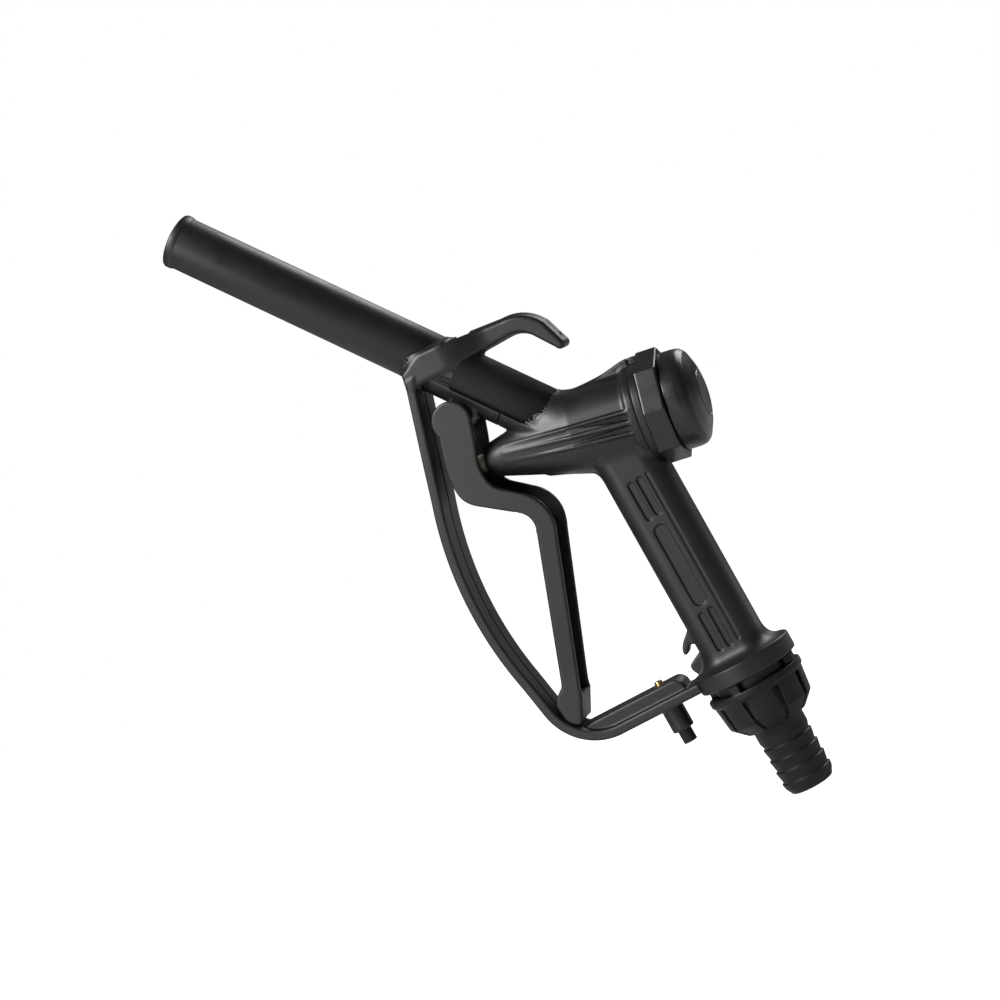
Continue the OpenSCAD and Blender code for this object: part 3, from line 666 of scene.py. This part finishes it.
def bush_piece():
    profile = rounded([(3.35, 49.0), (3.9, 49.0), (3.9, 51.3), (3.35, 51.3)], 0.15)
    return lathe("latch_bush_ring", latch_axis, profile, 96)


PIECES = (
    (body_piece, "body", body_plastic), (guard_piece, "guard", body_plastic), (lever_piece, "lever", body_plastic),
    (octagon_piece, "cap_plug", cap_plastic), (ring_piece, "clamp_ring", body_plastic),
    (cover_piece, "cap_cover", cap_plastic), (badge_piece, "cap_badge", badge_plastic),
    (nut_piece, "coupling_nut", nut_plastic), (tail_piece, "hose_tail", nut_plastic),
    (spout_piece, "spout_tube", spout_plastic), (stem_piece, "valve_stem", cream_plastic),
    (button_piece, "latch_button", nut_plastic), (tip_piece, "latch_tip", brass),
    (bush_piece, "latch_bush", nut_plastic),
)
for make_piece, node, material in PIECES:
    place(make_piece(), node, material)

# the inner pieces keep their CAD shapes
INNER = {
    "lever_pin": steel, "stem_bush": cream_plastic, "stem_orings": rubber, "seat_ring": steel, "poppet": steel,
    "poppet_seal": rubber, "poppet_nut": steel, "main_spring": spring_wire, "cap_oring": rubber,
    "latch_spring": spring_wire, "tail_gasket": rubber, "inlet_strainer": steel,
}
for node, material in INNER.items():
    slots = frame["nodes"][node].material_slots
    for one in slots:
        one.material = material


MAIN_SPRING_LENGTH = 25.6


def squeeze(node, joint, line):
    """Works out a spring's fixed end and reach along its joint's line, and gives the spring its own copy of its mesh;
    the spring is not squeezed as the joint moves.
    """
    motion = joints[joint]
    fixed = motion["deforming_nodes"][0]["fixed_end_z_m"] * MM
    x, z = line.point((fixed - line.origin[1]) / line.direction[1])
    low, _ = box_mm(node)
    reach = MAIN_SPRING_LENGTH
    if line is latch_axis:
        reach = abs(line.along(x, z) - line.along(latch_x, low[2]))
    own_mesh(frame["nodes"][node])


squeeze("main_spring", "valve_slide", barrel)
squeeze("latch_spring", "latch_slide", latch_axis)

# ---------------------------------------------------------------- studio


def white_world():
    """White behind the object, and a softer white as the light that falls on it."""
    world = bpy.data.worlds.new("studio")
    bpy.context.scene.world = world
    world.use_nodes = True
    tree = world.node_tree
    tree.nodes.clear()
    seen, lit = tree.nodes.new("ShaderNodeBackground"), tree.nodes.new("ShaderNodeBackground")
    seen.inputs["Strength"].default_value = 1.0
    lit.inputs["Strength"].default_value = 0.1
    for shade in (seen, lit):
        shade.inputs["Color"].default_value = (1, 1, 1, 1)
    path, mix = tree.nodes.new("ShaderNodeLightPath"), tree.nodes.new("ShaderNodeMixShader")
    out = tree.nodes.new("ShaderNodeOutputWorld")
    tree.links.new(path.outputs["Is Camera Ray"], mix.inputs[0])
    tree.links.new(lit.outputs[0], mix.inputs[1])
    tree.links.new(seen.outputs[0], mix.inputs[2])
    tree.links.new(mix.outputs[0], out.inputs[0])


def floor():
    mesh = bpy.data.meshes.new("floor")
    wide, low = 6.0, cad_box[0].z - 0.002
    corners = [(-wide, -wide, low), (wide, -wide, low), (wide, wide, low), (-wide, wide, low)]
    mesh.from_pydata(corners, [], [(0, 1, 2, 3)])
    made = bpy.data.objects.new("floor", mesh)
    bpy.context.scene.collection.objects.link(made)
    material = bpy.data.materials.new("pale_floor")
    make, tree = node_maker(material)
    shader = tree.nodes["Principled BSDF"]
    where = make("ShaderNodeTexCoord").outputs["Object"]
    grain = make("ShaderNodeTexNoise", {"Vector": where}, Scale=500.0, Detail=2.0).outputs["Fac"]
    bump = make("ShaderNodeBump", {"Height": grain}, Strength=0.05, Distance=0.0001)
    tree.links.new(bump.outputs["Normal"], shader.inputs["Normal"])
    shader.inputs["Base Color"].default_value = (0.6, 0.6, 0.6, 1)
    shader.inputs["Roughness"].default_value = 0.7
    shader.inputs["Emission Color"].default_value = (1, 1, 1, 1)
    seen = make("ShaderNodeLightPath").outputs["Is Camera Ray"]
    lift = make("ShaderNodeMath", {"Value": seen}, operation="MULTIPLY")
    lift.inputs[1].default_value = 1.0
    tree.links.new(lift.outputs["Value"], shader.inputs["Emission Strength"])
    mesh.materials.append(material)


def softbox(name, towards, distance, size, power, target):
    """A square area light that faces the target."""
    data = bpy.data.lights.new(name, "AREA")
    data.shape = "RECTANGLE"
    data.size, data.size_y = size
    data.energy = power
    light = bpy.data.objects.new(name, data)
    bpy.context.scene.collection.objects.link(light)
    way = Vector(towards).normalized()
    light.location = target + way * distance
    light.rotation_mode = "QUATERNION"
    light.rotation_quaternion = (-way).to_track_quat("-Z", "Y")


def camera(target):
    """The photograph's viewpoint: nearly level, a little to the cap's side, and rolled."""
    azimuth, elevation, roll = (math.radians(a) for a in (15.844, 1.184, 29.362))
    distance, lens = 1.1382, 88.92
    back = Vector((math.sin(azimuth) * math.cos(elevation), -math.cos(azimuth) * math.cos(elevation),
                   math.sin(elevation)))
    made = bpy.data.objects.new("camera", bpy.data.cameras.new("camera"))
    bpy.context.scene.collection.objects.link(made)
    made.data.lens = lens
    made.data.sensor_width = 36.0
    made.data.clip_start, made.data.clip_end = 0.05, 20.0
    made.location = target + back * distance
    made.rotation_mode = "QUATERNION"
    made.rotation_quaternion = Quaternion(back, -roll) @ (-back).to_track_quat("-Z", "Y")
    bpy.context.scene.camera = made


middle = (cad_box[0] + cad_box[1]) / 2
white_world()
floor()
softbox("key", (-0.42, -0.62, 0.66), 0.95, (0.5, 0.3), 12.0, middle)
softbox("fill", (-0.45, -0.85, 0.1), 1.3, (0.7, 0.7), 5.0, middle)
softbox("back", (0.55, 0.75, 0.5), 1.1, (0.6, 0.6), 6.0, middle)
FRAMING = Vector((-0.01229, 0, -0.00263))
camera(Vector((middle.x, 0, middle.z)) + FRAMING)
bpy.context.scene.view_settings.view_transform = "Standard"
